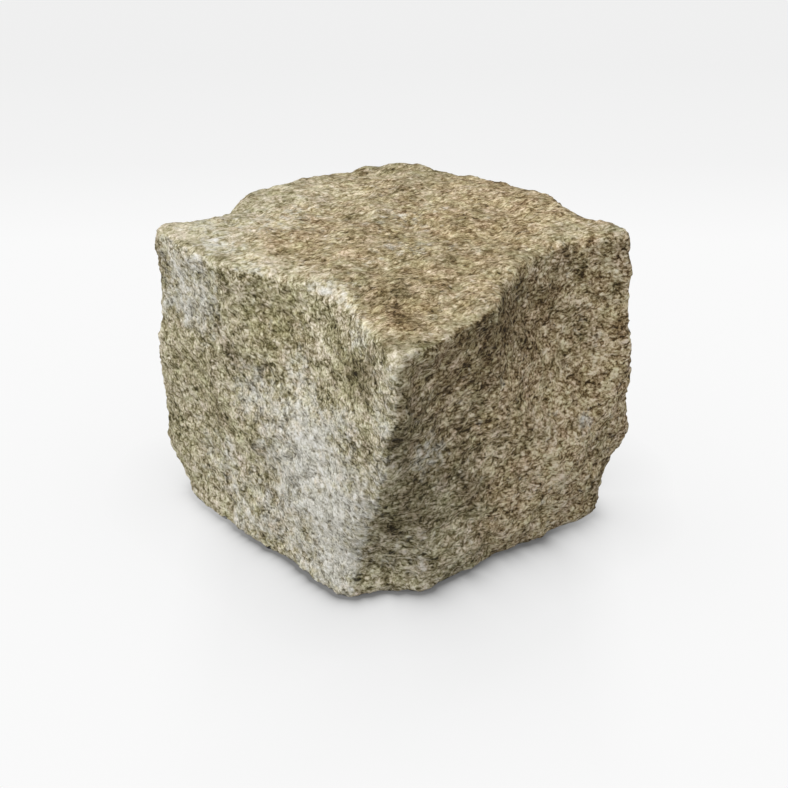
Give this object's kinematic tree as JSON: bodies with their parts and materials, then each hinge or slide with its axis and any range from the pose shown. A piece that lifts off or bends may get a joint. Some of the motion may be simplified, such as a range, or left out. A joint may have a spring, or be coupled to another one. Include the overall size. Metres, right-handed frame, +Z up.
{
  "type": "granite paving sett",
  "caption": "Hand-split cube of granite with worn arrises, hammer spalls and a flat bed, laid side by side with others as paving.",
  "frame": {"origin": "on the ground under the middle of the block", "axes": "+Z up from the bed to the head, +X to the right side with the cut-back foot, -Y to the front side with the spall under the head"},
  "size_m": [0.113, 0.1128, 0.0944],
  "materials": {
    "granite": "split face, weathered, matt"
  },
  "bodies": {
    "root": {"sett": "granite"}
  },
  "joints": []
}
